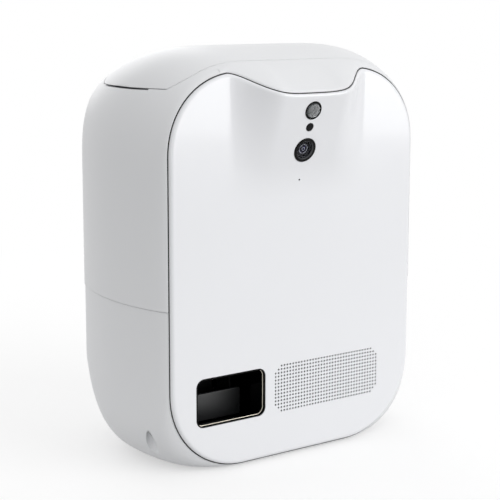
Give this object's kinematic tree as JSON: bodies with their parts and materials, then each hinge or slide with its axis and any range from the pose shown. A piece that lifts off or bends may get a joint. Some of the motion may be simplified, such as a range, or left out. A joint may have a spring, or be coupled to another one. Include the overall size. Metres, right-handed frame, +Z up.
{
  "type": "treat tossing pet camera",
  "caption": "Upright pet camera with a sloped camera brow, a lift-off lid over a treat bin, a geared portioning wheel and a sprung kicker that throws treats out of a front mouth.",
  "frame": {"origin": "bottom centre of the bounding box, on the surface that the rubber feet stand on", "axes": "+Z up; the front panel with the camera and the mouth faces -Y; +X to the right seen from the front"},
  "size_m": [0.234, 0.1496, 0.2875],
  "materials": {
    "white_gloss": "polished injection-moulded white plastic",
    "white_satin": "satin white acetal gears",
    "natural_nylon": "natural off-white nylon",
    "black_gloss": "polished black plastic",
    "dark_plastic": "fine-textured dark grey plastic",
    "lens_glass": "coated optical glass",
    "frosted_lens": "milky faceted polyethylene lens",
    "silicone": "soft grey silicone",
    "foot_rubber": "matt dark rubber",
    "steel": "bright zinc-plated steel",
    "copper_wire": "enamelled copper winding",
    "circuit_board": "green solder mask"
  },
  "bodies": {
    "housing": {"lower_housing": "white_gloss", "upper_housing": "white_gloss", "front_panel": "white_gloss", "treat_hopper": "natural_nylon", "feed_housing": "natural_nylon", "gear_plate": "dark_plastic", "feed_motor": "steel", "drop_duct": "black_gloss", "chute_liner": "black_gloss", "kicker_spring": "steel", "solenoid_frame": "steel", "solenoid_coil": "copper_wire", "mechanism_frame": "dark_plastic", "camera_ring": "black_gloss", "camera_glass": "lens_glass", "camera_barrel": "dark_plastic", "infrared_window": "black_gloss", "infrared_lamp": "lens_glass", "motion_sensor_ring": "black_gloss", "motion_sensor_lens": "frosted_lens", "motion_sensor": "steel", "microphone": "dark_plastic", "sensor_board": "circuit_board", "speaker_driver": "dark_plastic", "main_board": "circuit_board", "power_socket": "black_gloss", "foot_1": "foot_rubber", "foot_2": "foot_rubber", "foot_3": "foot_rubber", "foot_4": "foot_rubber", "hopper_screw_1": "steel", "hopper_screw_2": "steel", "hopper_screw_3": "steel", "hopper_screw_4": "steel", "housing_screw_1": "steel", "housing_screw_2": "steel", "housing_screw_3": "steel", "housing_screw_4": "steel", "panel_screw_1": "steel", "panel_screw_2": "steel", "panel_screw_3": "steel", "panel_screw_4": "steel"},
    "lid": {"lid": "white_gloss", "lid_seal": "silicone"},
    "feed_wheel": {"feed_rotor": "silicone", "rotor_shaft": "steel", "rotor_gear": "white_satin"},
    "pinion": {"motor_pinion": "white_satin", "motor_shaft": "steel"},
    "kicker": {"kicker_plate": "dark_plastic", "kicker_plunger": "steel"},
    "button": {"pairing_button": "dark_plastic"}
  },
  "joints": [
    {"name": "lid_lift", "type": "slide", "parent": "housing", "child": "lid", "axis": [0, 0, 1], "range_m": [0, 0.05]},
    {"name": "rotor_spin", "type": "hinge", "parent": "housing", "child": "feed_wheel", "pos_m": [-0.055, 0.01481, 0.129], "axis": [0, 1, 0], "continuous": true},
    {"name": "pinion_spin", "type": "hinge", "parent": "housing", "child": "pinion", "pos_m": [-0.0287, 0.01481, 0.129], "axis": [0, 1, 0], "continuous": true},
    {"name": "kicker_push", "type": "slide", "parent": "housing", "child": "kicker", "axis": [0, -1, 0], "range_m": [0, 0.012], "stiffness_N_per_m": 60, "springref_m": -0.003, "deforming": ["kicker_spring"]},
    {"name": "button_press", "type": "slide", "parent": "housing", "child": "button", "axis": [0, -1, 0], "range_m": [0, 0.0008], "stiffness_N_per_m": 800, "springref_m": -0.0003}
  ],
  "couplings": [
    {"joint": "pinion_spin", "follows": "rotor_spin", "ratio": -3.3333}
  ]
}
